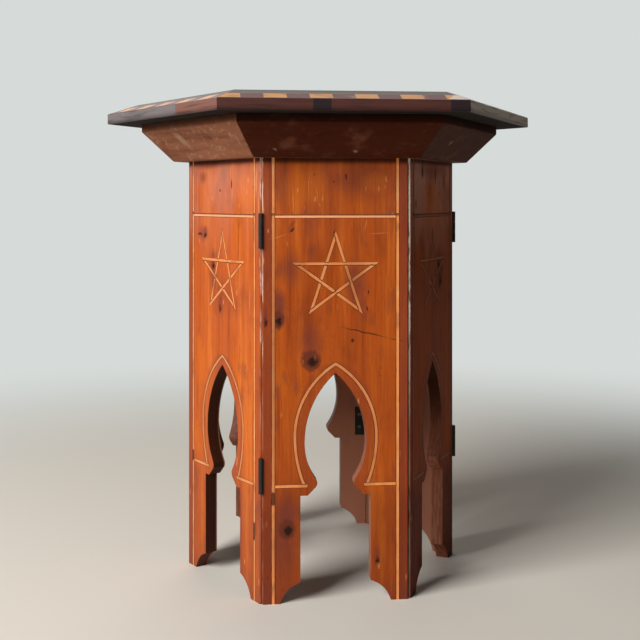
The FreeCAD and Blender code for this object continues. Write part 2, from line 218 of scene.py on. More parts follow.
WEAR = {
    "front": Wear(0.65, 0.70, 0.06, 0.00, 0.30, 0.50, 0.20, 0.70, 0.50, 0.05, 0.42, 0.93),
    "right_front": Wear(0.50, 0.50, 0.85, 0.42, 0.95, 1.00, 0.20, 0.70, 0.30, 0.95, 0.20, 0.88),
    "right_back": Wear(0.60, 0.50, 0.15, 0.10, 0.40, 0.40, 0.40, 0.40, 0.30, 0.20, 0.30, 0.50),
    "back": Wear(0.55, 0.65, 0.10, 0.05, 0.35, 0.45, 0.35, 0.50, 0.00, 0.10, 0.40, 0.35),
    "left_back": Wear(0.65, 0.55, 0.20, 0.15, 0.40, 0.30, 0.45, 0.30, 0.90, 0.20, 0.20, 0.55),
    "left_front": Wear(0.70, 0.25, 0.34, 0.00, 0.18, 0.05, 0.55, 0.00, 0.30, 0.42, 0.00, 0.12),
}

# Stretches of the rim along a side, in millimetres from its middle, that have gone another shade.
Stretch = namedtuple("Stretch", "panel start end shade")

STRETCHES = (
    Stretch("front", -30.0, -13.0, "rim_black"),
    Stretch("front", 100.0, 121.0, "rim_black"),
    # Dust and a painted sheen grey the right front side's rim.
    Stretch("right_front", -121.0, 121.0, "rim_dusty"),
    Stretch("right_back", -60.0, 20.0, "rim_black"),
    Stretch("back", 30.0, 90.0, "rim_rubbed"),
    Stretch("left_back", -121.0, -40.0, "rim_black"),
    Stretch("left_front", -121.0, 39.0, "rim_grey"),
    Stretch("left_front", 39.0, 121.0, "rim_rubbed"),
)


# The settings.


def linear(hex_colour):
    """Turn an sRGB hex colour into linear red, green, blue and alpha."""
    parts = [int(hex_colour[place:place + 2], 16) / 255 for place in (1, 3, 5)]
    return tuple(p / 12.92 if p <= 0.04045 else ((p + 0.055) / 1.055) ** 2.4 for p in parts) + (1.0,)


def colour_property(name, description, hex_colour):
    """Return a colour setting with its default."""
    return bpy.props.FloatVectorProperty(
        name=name, description=description, default=linear(hex_colour), size=4, min=0.0, max=1.0,
        subtype="COLOR")


def length_property(name, description, millimetres):
    """Return a length setting with its default."""
    return bpy.props.FloatProperty(
        name=name, description=description, default=millimetres / MM, min=0.0, unit="LENGTH")


def angle_property(name, description, degrees):
    """Return an angle setting with its default."""
    return bpy.props.FloatProperty(
        name=name, description=description, default=math.radians(degrees), subtype="ANGLE")


def power_property(name, description, watts):
    """Return a lamp's power setting with its default."""
    return bpy.props.FloatProperty(name=name, description=description, default=watts, min=0.0, unit="POWER")


def share_property(name, description, share):
    """Return a setting from nothing to one with its default."""
    return bpy.props.FloatProperty(
        name=name, description=description, default=share, min=0.0, max=1.0, subtype="FACTOR")


class PanelWoodSettings(bpy.types.PropertyGroup):
    """Colours and grain of the panels' varnished softwood."""

    light: colour_property("Light grain", "Pale early wood", "#C4641C")
    middle: colour_property("Middle grain", "Most of the varnished wood", "#AA4C13")
    dark: colour_property("Dark grain", "Late wood and old varnish", "#80330F")
    margin: colour_property("Margin", "Redder wood outside the upright strings", "#7C3420")
    leg: colour_property("Leg", "Darker varnish on the legs", "#52190A")
    # Painted sheen as well as bloomed varnish: the pale reflection on the panels' heads.
    haze: colour_property("Haze", "Bloomed varnish under the top", "#C58E7C")
    smear: colour_property("Smear", "Stained wood above a knot", "#6E342A")
    knot: colour_property("Knot", "Face of a knot", "#5E2C1E")
    # Also painted shadow: the black line along a panel's head, under the top.
    heart: colour_property("Knot heart", "Heart of a knot, pits and cracks", "#24130E")
    scratch: colour_property("Scratch", "Scratched varnish", "#D9905C")
    worn: colour_property("Worn wood", "Rubbed wood in the arches", "#B58B78")
    # Painted highlight as well as bare wood: the light that the worn arrises catch.
    bare_wood_and_highlight: colour_property("Bare wood", "Bare wood on the arrises", "#F0DACB")
    edge: colour_property("Arch edge", "Stained edges of the arches and feet", "#9C5C44")
    # Stain and painted shade: the edges go to this near-black colour high in the arches, where they lie in
    # shade.
    edge_dark_and_shade: colour_property("Dark arch edge", "Thick stain on the edges of the arches and feet", "#2C1912")
    # The thin and thick inner stains are also painted light and shade: the thin one on inner faces that the
    # lamp reaches, the thick one on faces turned from it.
    inner: colour_property("Inner stain", "Thin stain on the inner faces", "#B67A60")
    inner_dark_and_shade: colour_property("Dark inner stain", "Thick stain on the inner faces", "#38211A")
    ring_spacing: length_property("Ring spacing", "Distance between growth rings on the face", 9.0)


class InlaySettings(bpy.types.PropertyGroup):
    """Colours and sizes of the inlaid strings and stars."""

    string: colour_property("String", "Pale string wood under the varnish", "#EE9454")
    pale: colour_property("Pale string", "Rubbed stretches of the strings", "#F0AC78")
    rail: colour_property("Rail string", "Paler string across the panel", "#F0AA7C")
    amber: colour_property("Star", "Darker varnish on the stars", "#B86A38")
    dirty: colour_property("Dirt", "Dirt and old varnish on the strings", "#8A5034")
    glue: colour_property("Glue line", "Dark line round each string", "#3C170D")
    glue_width: length_property("Glue line width", "Width of the dark line round a string", 0.9)
    glue_sink: share_property("Glue line depth", "Depth of the line's middle, as a share of its width", 0.3)
    by_string: share_property(
        "Line by string", "Distance from a string's edge to the line's middle, as a share of its width", 0.1)
    by_star: share_property(
        "Line by star", "Distance from a star's edge to the line's middle, as a share of its width", 0.35)


class TopSettings(bpy.types.PropertyGroup):
    """Colours and edges of the top and its apron."""

    field: colour_property("Field", "Dark stained board", "#4A352F")
    # Painted sheen: the grey that the bevel and patches of the field show in a glancing view.
    border: colour_property("Border", "Greyed varnish on the bevel", "#7C7670")
    rim: colour_property("Rim", "Dark lipping", "#50302A")
    rim_black: colour_property("Black rim", "Blackened stretches of the lipping", "#272125")
    rim_grey: colour_property("Grey rim", "Greyed stretches of the lipping", "#6E6868")
    # Dust and painted sheen: the grey of the rim and its chequers on the right front side.
    rim_dusty: colour_property("Dusty rim", "Dusty stretches of the lipping and its chequers", "#DCD4CA")
    rim_rubbed: colour_property("Rubbed rim", "Rubbed stretches of the lipping", "#765249")
    chequer_light: colour_property("Light block", "Light chequer wood", "#CC8A44")
    chequer_dark: colour_property("Dark block", "Dark chequer wood", "#5E2C28")
    apron: colour_property("Apron", "Brown stained apron", "#8C5940")
    apron_dark: colour_property("Dark apron", "Thick stain on the apron", "#3A1003")
    scuff: colour_property("Scuff", "Scuffs on the apron and the rim", "#B79C7C")
    # Painted shade under the top and at the apron's head. On the rim, it darkens the lower edge.
    grime_and_shade: colour_property("Grime", "Black dirt under the top", "#120B09")
    bearer: colour_property("Bearer", "Plain softwood out of sight", "#96704A")
    soft_edge: length_property("Soft edge", "Width of the worn edges", 0.7)
    lip_height: length_property("Lip height", "Height of the upright edge at the apron's head", 8.4)


class HingeSettings(bpy.types.PropertyGroup):
    """Colours and sizes of the hinges and their screws."""

    iron: colour_property("Iron", "Blackened iron", "#353330")
    rust: colour_property("Rust", "Rust on the iron", "#5B3826")
    steel: colour_property("Steel", "Dull steel of the screws", "#77706A")
    head_radius: length_property("Head radius", "Radius of a screw head", 2.2)
    shank_radius: length_property("Shank radius", "Radius of a screw's shank", 1.0)
    point_radius: length_property("Point radius", "Radius of a screw's point", 0.2)
    head_depth: length_property("Head depth", "Depth of the countersunk head", 1.2)
    screw_length: length_property("Screw length", "Length of a screw with its head", 7.0)
    slot_width: length_property("Slot width", "Width of the driver slot", 0.7)
    slot_depth: length_property("Slot depth", "Depth of the driver slot", 0.7)
    soft_edge: length_property("Soft edge", "Width of the rounded edges", 0.4)


class StageSettings(bpy.types.PropertyGroup):
    """Floor, light and camera."""

    floor: colour_property("Floor", "Plain pale floor", "#DAD4C9")
    floor_radius: length_property("Floor radius", "Radius of the round floor", 12000)
    fade_start: length_property("Fade start", "Distance at which the floor begins to turn into backdrop", 450)
    fade_end: length_property("Fade end", "Distance at which the floor looks like the backdrop", 1500)
    backdrop: colour_property("Backdrop", "Pale backdrop", "#D6DBD9")
    fill_colour: colour_property("Fill colour", "Colour of the even light from all round", "#EEE2D4")
    fill: share_property("Fill", "Strength of the even light from all round", 0.05)
    distance: length_property("Lamp distance", "Distance of the lamps from the table", 2500)
    key_power: power_property("Key power", "Power of the large lamp", 89.0)
    key_size: length_property("Key size", "Width of the large lamp", 1300)
    key_bearing: angle_property("Key bearing", "Side that the lamp stands on, from +X", 217)
    key_height: angle_property("Key height", "Height of the lamp above level", 28)
    bounce_power: power_property("Bounce power", "Power of the light off the backdrop", 20.0)
    bounce_size: length_property("Bounce size", "Width of the light off the backdrop", 2200)
    bounce_bearing: angle_property("Bounce bearing", "Side that the backdrop's light comes from, from +X", 88)
    bounce_height: angle_property("Bounce height", "Height of the backdrop's light above level", 30)
    lens: bpy.props.FloatProperty(
        name="Lens", description="Focal length in millimetres", default=58.3, min=1.0, unit="CAMERA")
    eye: bpy.props.FloatVectorProperty(
        name="Eye", description="Place of the camera", default=(-0.1225, -1.1615, 0.4044), subtype="XYZ",
        unit="LENGTH")
    heading: angle_property("Heading", "Turn of the level camera to the right of straight ahead", 5.9)
    drop: share_property("Drop", "Share of the frame by which the view is lowered", 0.19)


class FoldingTableSettings(bpy.types.PropertyGroup):
    """All settings of the table."""

    panel_wood: bpy.props.PointerProperty(name="Panel wood", type=PanelWoodSettings)
    inlay: bpy.props.PointerProperty(name="Inlay", type=InlaySettings)
    top: bpy.props.PointerProperty(name="Top", type=TopSettings)
    hinge: bpy.props.PointerProperty(name="Hinges", type=HingeSettings)
    stage: bpy.props.PointerProperty(name="Stage", type=StageSettings)


# Building materials.


def add(tree, kind, inputs=(), **settings):
    """Add a node, give it its settings, and fill or link its inputs.

    A node that is given as an input stands for its first output.
    """
    node = tree.nodes.new(kind)
    for name, value in settings.items():
        setattr(node, name, value)
    for key, value in dict(inputs).items():
        if isinstance(value, bpy.types.Node):
            value = value.outputs[0]
        if isinstance(value, bpy.types.NodeSocket):
            tree.links.new(value, node.inputs[key])
        else:
            node.inputs[key].default_value = value
    return node


def new_material(name):
    """Return an empty material and its node tree."""
    material = bpy.data.materials.new(name)
    material.use_nodes = True
    material.node_tree.nodes.clear()
    return material, material.node_tree


def blend(first, second, share):
    """Return a colour part of the way from one to another."""
    return tuple(a + (b - a) * share for a, b in zip(first, second))


def side_coordinates(tree, step):
    """Return a side's own millimetres: along it, in from its outer face and up, and its own normal."""
    place = add(tree, "ShaderNodeTexCoord")
    local = add(tree, "ShaderNodeMapping", {
        "Vector": place.outputs["Object"],
        "Location": (0.0, -outer_face * MM, 0.0),
        "Rotation": (0.0, 0.0, -TURN * step),
        "Scale": (MM, MM, MM),
    })
    normal = add(tree, "ShaderNodeVectorRotate", {
        "Vector": place.outputs["Normal"], "Angle": -TURN * step}, rotation_type="Z_AXIS")
    return local, normal


def grain(tree, local, size, seed, detail=3.0):
    """Return soft random streaks whose size along each direction is given in millimetres."""
    spread = add(tree, "ShaderNodeVectorMath", {
        0: local, 1: tuple(1.0 / part for part in size)}, operation="MULTIPLY")
    return add(tree, "ShaderNodeTexNoise", {
        "Vector": spread, "W": seed, "Scale": 1.0, "Detail": detail}, noise_dimensions="4D")


def coat(tree, colour, *layers):
    """Return a colour with layers laid over it in turn.

    A layer is its colour, a value, two limits and a strength. It is eased in where the value passes from
    the first limit to the second, which may be the lower one. The strength is a share or another mask.
    """
    for over, value, start, full, strength in layers:
        share = add(tree, "ShaderNodeMapRange", {
            "Value": value, "From Min": start, "From Max": full, "To Max": strength,
        }, interpolation_type="SMOOTHSTEP")
        colour = add(tree, "ShaderNodeMix", {0: share, 6: colour, 7: over}, data_type="RGBA").outputs[2]
    return colour


def marks_distance(tree, local, marks):
    """Return the distance to the nearest mark, where 1 is a mark's rim."""
    nearest = None
    for mark in marks:
        inside = add(tree, "ShaderNodeMapping", {
            "Vector": local,
            "Location": (mark.u, 0.0, mark.v),
            "Rotation": (0.0, math.radians(mark.turn), 0.0),
            "Scale": (mark.half_u, MM, mark.half_v),
        }, vector_type="TEXTURE")
        distance = add(tree, "ShaderNodeVectorMath", {0: inside}, operation="LENGTH").outputs["Value"]
        if nearest is None:
            nearest = distance
        else:
            nearest = add(tree, "ShaderNodeMath", {0: nearest, 1: distance}, operation="MINIMUM")
    return nearest


def reshaped(marks, wider, taller, shift_u, shift_v):
    """Return marks made larger or smaller and shifted, all in shares of their own half sizes."""
    return [
        Mark(
            mark.u + shift_u * mark.half_u, mark.v + shift_v * mark.half_v,
            wider * mark.half_u, taller * mark.half_v, mark.turn)
        for mark in marks
    ]


def ragged(tree, local, size, amount, seed):
    """Return coordinates pushed about at random, in millimetres, so that marks get uneven rims."""
    push = add(tree, "ShaderNodeTexNoise", {
        "Vector": local, "W": seed, "Scale": 1.0 / size, "Detail": 2.0}, noise_dimensions="4D")
    centred = add(tree, "ShaderNodeVectorMath", {
        0: push.outputs["Color"], 1: (-0.5, -0.5, -0.5)}, operation="ADD")
    return add(tree, "ShaderNodeVectorMath", {
        0: centred, 1: (2 * amount,) * 3, 2: local}, operation="MULTIPLY_ADD")


def flecks(tree, local, cell, share, radius):
    """Return specks in a share of cells of a size in millimetres. The radius is a share of a cell."""
    spread = add(tree, "ShaderNodeVectorMath", {
        0: local, 1: tuple(1.0 / part for part in cell)}, operation="MULTIPLY")
    cells = add(tree, "ShaderNodeTexVoronoi", {"Vector": spread, "Scale": 1.0})
    draw = add(tree, "ShaderNodeSeparateColor", {0: cells.outputs["Color"]})
    chosen = add(tree, "ShaderNodeMath", {0: draw, 1: share}, operation="LESS_THAN")
    return add(tree, "ShaderNodeMapRange", {
        "Value": cells.outputs["Distance"], "From Min": radius, "From Max": 0.4 * radius, "To Max": chosen})


def close_material(tree, colour, roughness, height, bump_mm, gloss=GLOSS, metallic=0.0):
    """Give the tree its surface, with a bump whose depth is in millimetres."""
    bump = add(tree, "ShaderNodeBump", {"Height": height, "Strength": 0.6, "Distance": bump_mm / MM})
    surface = add(tree, "ShaderNodeBsdfPrincipled", {
        "Base Color": colour,
        "Roughness": roughness,
        "Metallic": metallic,
        "Specular IOR Level": gloss,
        "Normal": bump,
    })
    add(tree, "ShaderNodeOutputMaterial", {"Surface": surface})


# The materials. Wood fibres are drawn coarser than they are, so that they show.


def growth_rings(tree, settings, panel, local, uneven, streak):
    """Return waves across a panel's wood, one to a growth ring, that close round the knots."""
    along = add(tree, "ShaderNodeSeparateXYZ", {0: local}).outputs[0]
    around = add(tree, "ShaderNodeMapRange", {
        "Value": marks_distance(tree, uneven, KNOTS[panel]), "From Min": 3.4, "From Max": 0.9, "To Max": 4.0,
    }, interpolation_type="SMOOTHSTEP")
    warp = add(tree, "ShaderNodeMath", {0: streak, 1: 7.0, 2: around}, operation="MULTIPLY_ADD")
    rings = add(tree, "ShaderNodeMath", {
        0: along, 1: 1.0 / (settings.ring_spacing * MM), 2: warp}, operation="MULTIPLY_ADD")
    phase = add(tree, "ShaderNodeMath", {0: rings, 1: math.tau}, operation="MULTIPLY")
    return add(tree, "ShaderNodeMath", {0: phase}, operation="SINE")


def uneven_varnish(tree, settings, wear, local, patch, colour):
    """Return a panel's colour, redder outside the upright strings and inside the arch string.

    The legs are darker and the head is hazy, with a painted sheen.
    """
    along, _, up = add(tree, "ShaderNodeSeparateXYZ", {0: local}).outputs
    string = string_edge * MM
    colour = coat(
        tree, colour,
        (settings.margin, along, 0.4 - string, -string, wear.left_margin),
        (settings.margin, along, string - 0.4, string, wear.right_margin),
        (settings.margin, marks_distance(tree, local, ARCH), 1.02, 0.98, 0.35),
    )
    # On the right front side, which faces away from the lamp, the dark varnish all over is partly painted
    # shade.
    varnish = add(tree, "ShaderNodeMapRange", {
        "Value": up, "From Min": LEG_TOP, "From Max": LEG_DARK, "To Min": wear.dark, "To Max": wear.legs})
    colour = add(tree, "ShaderNodeMix", {0: varnish, 6: colour, 7: settings.leg}, data_type="RGBA").outputs[2]
    # Painted sheen: the haze at the head is also the pale reflection there, most on the right front side.
    head = add(tree, "ShaderNodeMapRange", {
        "Value": up, "From Min": 340.0, "From Max": 430.0, "To Min": 0.15 * wear.haze, "To Max": wear.haze})
    return coat(tree, colour, (settings.haze, patch, 0.25, 0.60, head))


def knots_and_marks(tree, settings, panel, seed, local, uneven, patch, colour):
    """Return a panel's colour with its stains, knots, pits, cracks and scratches.

    A knot has a heart off its middle and a stained smear above it.
    """
    knots = KNOTS[panel]
    gnarled = ragged(tree, local, 4.0, 2.8, seed)
    smears = reshaped(knots, 1.6, 2.6, 0.0, 1.5)
    hearts = reshaped(knots, 0.66, 0.66, 0.15, -0.12)
    specks = flecks(tree, local, (14.0, 14.0, 28.0), 0.4, 0.07)
    nicks = flecks(tree, uneven, (7.0, 7.0, 24.0), 0.40, 0.20)
    nicked = add(tree, "ShaderNodeMapRange", {
        "Value": patch, "From Min": 0.42, "From Max": 0.56, "To Max": 0.55})
    handled = marks_distance(tree, uneven, HANDLED[panel])
    fine_nicks = flecks(tree, uneven, (3.6, 3.6, 15.0), 0.55, 0.26)
    fine_nicked = add(tree, "ShaderNodeMapRange", {
        "Value": handled, "From Min": 1.1, "From Max": 0.5, "To Max": 0.6})
    return coat(
        tree, colour,
        (settings.smear, marks_distance(tree, uneven, STAINS[panel]), 1.2, 0.2, 0.6),
        (settings.smear, marks_distance(tree, uneven, smears), 1.0, 0.2, 0.6),
        (settings.knot, marks_distance(tree, gnarled, knots), 1.15, 0.75, 0.8),
        (settings.heart, marks_distance(tree, gnarled, hearts), 1.0, 0.35, 0.95),
        (settings.heart, marks_distance(tree, uneven, PITS[panel]), 1.3, 0.6, 0.8),
        (settings.heart, specks, 0.0, 1.0, 0.6),
        (settings.heart, marks_distance(tree, uneven, CRACKS[panel]), 1.2, 0.5, 0.75),
        (settings.scratch, marks_distance(tree, uneven, SCRATCHES[panel]), 1.3, 0.3, 0.45),
        (settings.scratch, nicks, 0.0, 1.0, nicked),
        (settings.light, handled, 1.1, 0.3, 0.4),
        (settings.scratch, fine_nicks, 0.0, 1.0, fine_nicked),
    )


def worn_edges(tree, settings, wear, seed, local, normal, colour):
    """Return a panel's colour with stained edges, dirty feet, bare arrises and a stained inner face.

    The edges are rubbed low in the arch and darkened with painted shade high in it, the worn arrises carry a
    painted highlight, and the inner stain is partly painted shade. A black line of painted shadow runs along
    the head, under the top.
    """
    along, inward, up = add(tree, "ShaderNodeSeparateXYZ", {0: local}).outputs
    sideways, away, _ = add(tree, "ShaderNodeSeparateXYZ", {0: normal}).outputs
    rubbing = grain(tree, local, (3.0, 3.0, 16.0), seed + 4.0)
    facing = add(tree, "ShaderNodeMath", {0: away}, operation="ABSOLUTE")

    # The mitres between the panels, whose normals point away from the middle line, have no stain.
    from_middle = add(tree, "ShaderNodeMath", {0: sideways, 1: along}, operation="MULTIPLY")
    stained = add(tree, "ShaderNodeMapRange", {
        "Value": from_middle, "From Min": 20.0, "From Max": 5.0, "To Max": 0.9})
    low = add(tree, "ShaderNodeMapRange", {
        "Value": up, "From Min": 190.0, "From Max": 120.0, "To Max": 0.4 * wear.edges})
    rubbed = add(tree, "ShaderNodeMapRange", {
        "Value": rubbing, "From Min": 0.45, "From Max": 0.65, "To Max": low})
    # Stain and painted shade: thick stain low down, and high in the arch the darkest colour for the shade
    # there.
    low_edge = blend(settings.edge_dark_and_shade, settings.edge, wear.edges)
    edge = coat(tree, low_edge, (settings.edge_dark_and_shade, up, 130.0, 200.0, 1.0))
    on_face = add(tree, "ShaderNodeMapRange", {
        "Value": facing, "From Min": 0.35, "From Max": 0.75, "To Max": 0.85})
    # Painted shadow: the black line along the head, in the knot-heart colour, is the shade under the top.
    head = front_high.z * MM
    colour = coat(
        tree, colour,
        (edge, facing, 0.75, 0.35, stained),
        (settings.worn, facing, 0.75, 0.35, rubbed),
        (settings.smear, up, 30.0, 2.0, 0.4),
        (settings.heart, up, head - 7.0, head - 2.0, on_face),
    )

    # More of an arris is worn to the wood, with a painted highlight, the higher it is, in broken stretches.
    arris = board_half * MM - 1.0
    for side, bared_and_highlighted in ((-1.0, wear.left_arris), (1.0, wear.right_arris)):
        higher = add(tree, "ShaderNodeMapRange", {
            "Value": up, "From Min": 170.0, "From Max": 300.0, "To Min": 0.10 * bared_and_highlighted, "To Max": bared_and_highlighted})
        broken = add(tree, "ShaderNodeMapRange", {
            "Value": rubbing, "From Min": 0.55 - 0.20 * bared_and_highlighted, "From Max": 0.68 - 0.18 * bared_and_highlighted,
            "To Max": higher})
        colour = coat(tree, colour, (settings.bare_wood_and_highlight, along, side * arris, side * (arris + 0.3), broken))
    # Painted light and shade: the inner stain is lighter on inner faces that the lamp reaches and darker on
    # faces turned from it.
    skin = inner_face * MM
    inner_stain_and_shade = blend(settings.inner, settings.inner_dark_and_shade, wear.inside)
    return coat(tree, colour, (inner_stain_and_shade, inward, skin - 2.0, skin - 0.5, 0.9))


def varnished_softwood(settings, panel):
    """Return a panel's wood: knotty softwood under old shellac, with its grain upright.

    It shows orange and red streaks, faint growth rings that close round the knots, redder margins, dark
    legs, rubbed arrises with a painted highlight, scratches and a plain stain on the inner face, which is
    partly painted shade.
    """
    step = PANELS.index(panel)
    seed = 3.7 * step
    wear = WEAR[panel]
    material, tree = new_material(panel + "_varnished_softwood")
    local, normal = side_coordinates(tree, step)
    uneven = ragged(tree, local, 9.0, 1.6, seed)

    # Streaks of early and late wood, broad patches, blotches, fine fibres and growth rings.
    streak = grain(tree, local, (11.0, 11.0, 210.0), seed)
    patch = grain(tree, local, (38.0, 38.0, 80.0), seed + 1.0)
    blotch = grain(tree, local, (17.0, 17.0, 34.0), seed + 5.0)
    fibre = grain(tree, local, (1.3, 1.3, 18.0), seed + 2.0)
    rings = growth_rings(tree, settings, panel, local, uneven, streak)
    colour = coat(
        tree, settings.middle,
        (settings.light, streak, 0.50, 0.68, 0.8),
        (settings.dark, streak, 0.47, 0.30, 0.8),
        (settings.dark, patch, 0.52, 0.74, 0.7),
        (settings.light, patch, 0.46, 0.26, 0.5),
        (settings.smear, blotch, 0.54, 0.72, 0.55),
        (settings.dark, fibre, 0.50, 0.72, 0.35),
        (settings.dark, rings, 0.2, 1.0, 0.09),
    )
    colour = uneven_varnish(tree, settings, wear, local, patch, colour)
    colour = knots_and_marks(tree, settings, panel, seed, local, uneven, patch, colour)
    colour = worn_edges(tree, settings, wear, seed, local, normal, colour)

    roughness = add(tree, "ShaderNodeMapRange", {"Value": patch, "To Min": 0.36, "To Max": 0.56})
    relief = add(tree, "ShaderNodeMath", {0: rings, 1: 0.4, 2: fibre}, operation="MULTIPLY_ADD")
    close_material(tree, colour, roughness, relief, 0.12, gloss=GLOSS * (1.0 - 2.0 * wear.dark))
    return material


def string_wood(settings, name, panel):
    """Return the strings' wood: pale and close-grained under amber varnish, dirty, with bits lost."""
    step = PANELS.index(panel)
    seed = 40.0 + 2.3 * step
    wear = WEAR[panel]
    material, tree = new_material(name)
    local, _ = side_coordinates(tree, step)
    along, _, up = add(tree, "ShaderNodeSeparateXYZ", {0: local}).outputs
    shade = grain(tree, local, (22.0, 22.0, 30.0), seed, 2.0)
    fibre = grain(tree, local, (1.2, 1.2, 5.0), seed + 1.0)
    string = blend(settings.string, settings.dirty, wear.strings)
    pale = blend(settings.pale, settings.dirty, wear.strings)
    rail = blend(settings.rail, settings.dirty, wear.strings)

    # The rail string lies between the upright ones, and has shrunk from the wood above it.
    between = add(tree, "ShaderNodeMath", {0: along}, operation="ABSOLUTE")
    inner_edge = string_edge * MM - 2 * STRING_HALF
    band = add(tree, "ShaderNodeMath", {0: up, 1: RAIL_MIDDLE, 2: 2 * STRING_HALF}, operation="COMPARE")
    shrunk = add(tree, "ShaderNodeMath", {0: band, 1: 0.75}, operation="MULTIPLY")
    colour = coat(
        tree, string,
        (pale, shade, 0.48, 0.66, 0.6),
        (settings.dirty, shade, 0.46, 0.30, 0.55),
        (settings.dirty, fibre, 0.54, 0.72, 0.40),
        (rail, between, inner_edge, inner_edge - 0.4, band),
        (settings.glue, up, RAIL_MIDDLE + 0.4, RAIL_MIDDLE + 0.9, shrunk),
        (settings.dirty, marks_distance(tree, local, STAINS[panel]), 1.2, 0.2, 0.6),
        (settings.dirty, marks_distance(tree, local, ARCH), 1.15, 1.08, 0.30),
        (settings.amber, marks_distance(tree, local, STAR), 1.05, 1.0, wear.star),
        (settings.glue, up, LEG_TOP, LEG_DARK, wear.strings * wear.legs),
        (settings.glue, marks_distance(tree, local, LOSSES[panel]), 1.15, 0.9, 0.85),
    )
    close_material(tree, colour, 0.45, fibre, 0.06)
    return material


def glue_line(settings):
    """Return the dark line of old glue and dirt round a string."""
    material, tree = new_material("dark_glue")
    local, _ = side_coordinates(tree, 0)
    shade = grain(tree, local, (9.0, 9.0, 9.0), 60.0, 2.0)
    colour = coat(tree, settings.glue, (settings.dirty, shade, 0.42, 0.65, 0.4))
    close_material(tree, colour, 0.7, shade, 0.05)
    return material


def stained_top(settings):
    """Return the top board's dark stained wood, a painted grey sheen on the bevel and painted shade under it.
    """
    material, tree = new_material("stained_top")
    local, normal = side_coordinates(tree, 0)
    upward = add(tree, "ShaderNodeSeparateXYZ", {0: normal}).outputs[2]
    streak = grain(tree, local, (240.0, 9.0, 9.0), 70.0)
    patch = grain(tree, local, (60.0, 60.0, 60.0), 71.0)
    colour = coat(
        tree, settings.field,
        (settings.rim_black, streak, 0.42, 0.68, 0.55),
        # Painted sheen: grey patches on the field, and the grey bevel in the next layer.
        (settings.border, patch, 0.45, 0.70, 0.22),
        (settings.border, upward, 0.985, 0.955, 0.85),
        (settings.rim, streak, 0.50, 0.75, 0.35),
        # Painted shade: the black underside.
        (settings.grime_and_shade, upward, -0.2, -0.6, 0.9),
        (settings.scuff, flecks(tree, local, (26.0, 26.0, 26.0), 0.25, 0.08), 0.0, 1.0, 0.4),
    )
    polish = add(tree, "ShaderNodeMapRange", {"Value": patch, "To Min": 0.50, "To Max": 0.65})
    roughness = add(tree, "ShaderNodeMapRange", {
        "Value": upward, "From Min": -0.2, "From Max": -0.6, "To Min": polish, "To Max": 0.95})
    close_material(tree, colour, roughness, streak, 0.10, gloss=0.06)
    return material


def dark_lipping(settings):
    """Return the rim's dark hardwood lipping, with blackened, greyed and rubbed stretches."""
    material, tree = new_material("dark_lipping")
    local, _ = side_coordinates(tree, 0)
    up = add(tree, "ShaderNodeSeparateXYZ", {0: local}).outputs[2]
    streak = grain(tree, local, (45.0, 45.0, 2.4), 80.0)

    # A stretch begins and ends within a millimetre.
    shaded = []
    fade = 0.5
    for stretch in STRETCHES:
        side, normal = side_coordinates(tree, PANELS.index(stretch.panel))
        along = add(tree, "ShaderNodeSeparateXYZ", {0: side}).outputs[0]
        away = add(tree, "ShaderNodeSeparateXYZ", {0: normal}).outputs[1]
        facing = add(tree, "ShaderNodeMapRange", {
            "Value": away, "From Min": -0.6, "From Max": -0.9, "To Max": 0.9})
        started = add(tree, "ShaderNodeMapRange", {
            "Value": along, "From Min": stretch.start - fade, "From Max": stretch.start + fade,
            "To Max": facing})
        shade = getattr(settings, stretch.shade)
        shaded.append((shade, along, stretch.end + fade, stretch.end - fade, started))

    # The lipping darkens towards its lower edge.
    foot = rim_low.z * MM
    colour = coat(
        tree, settings.rim, *shaded,
        (settings.rim_black, streak, 0.48, 0.72, 0.6),
        (settings.grime_and_shade, up, foot + 6.0, foot - 1.0, 0.6),
        (settings.scuff, flecks(tree, local, (13.0, 13.0, 7.0), 0.30, 0.13), 0.0, 1.0, 0.5),
    )
    close_material(tree, colour, 0.42, streak, 0.10)
    return material


def chequer_wood(settings, name, wood, seed):
    """Return a chequer block's wood, pale or dark, with fine grain, and greyed along one side by dust and
    painted sheen.
    """
    material, tree = new_material(name)
    local, _ = side_coordinates(tree, 0)
    shade = grain(tree, local, (24.0, 24.0, 24.0), seed, 2.0)
    fibre = grain(tree, local, (2.2, 2.2, 2.2), seed + 1.0)
    dust_and_sheen_side, _ = side_coordinates(tree, PANELS.index("right_front"))
    inward = add(tree, "ShaderNodeSeparateXYZ", {0: dust_and_sheen_side}).outputs[1]
    dust_and_sheen_end = DUST_AND_SHEEN_REACH - rim_reach * MM
    colour = coat(
        tree, wood,
        (settings.apron_dark, shade, 0.50, 0.75, 0.35),
        (settings.scuff, shade, 0.44, 0.25, 0.40),
        (settings.apron_dark, fibre, 0.55, 0.75, 0.35),
        # Dust and painted sheen along the right front side.
        (settings.rim_dusty, inward, dust_and_sheen_end + 1.0, dust_and_sheen_end - 1.0, 0.65),
    )
    close_material(tree, colour, 0.42, fibre, 0.08)
    return material


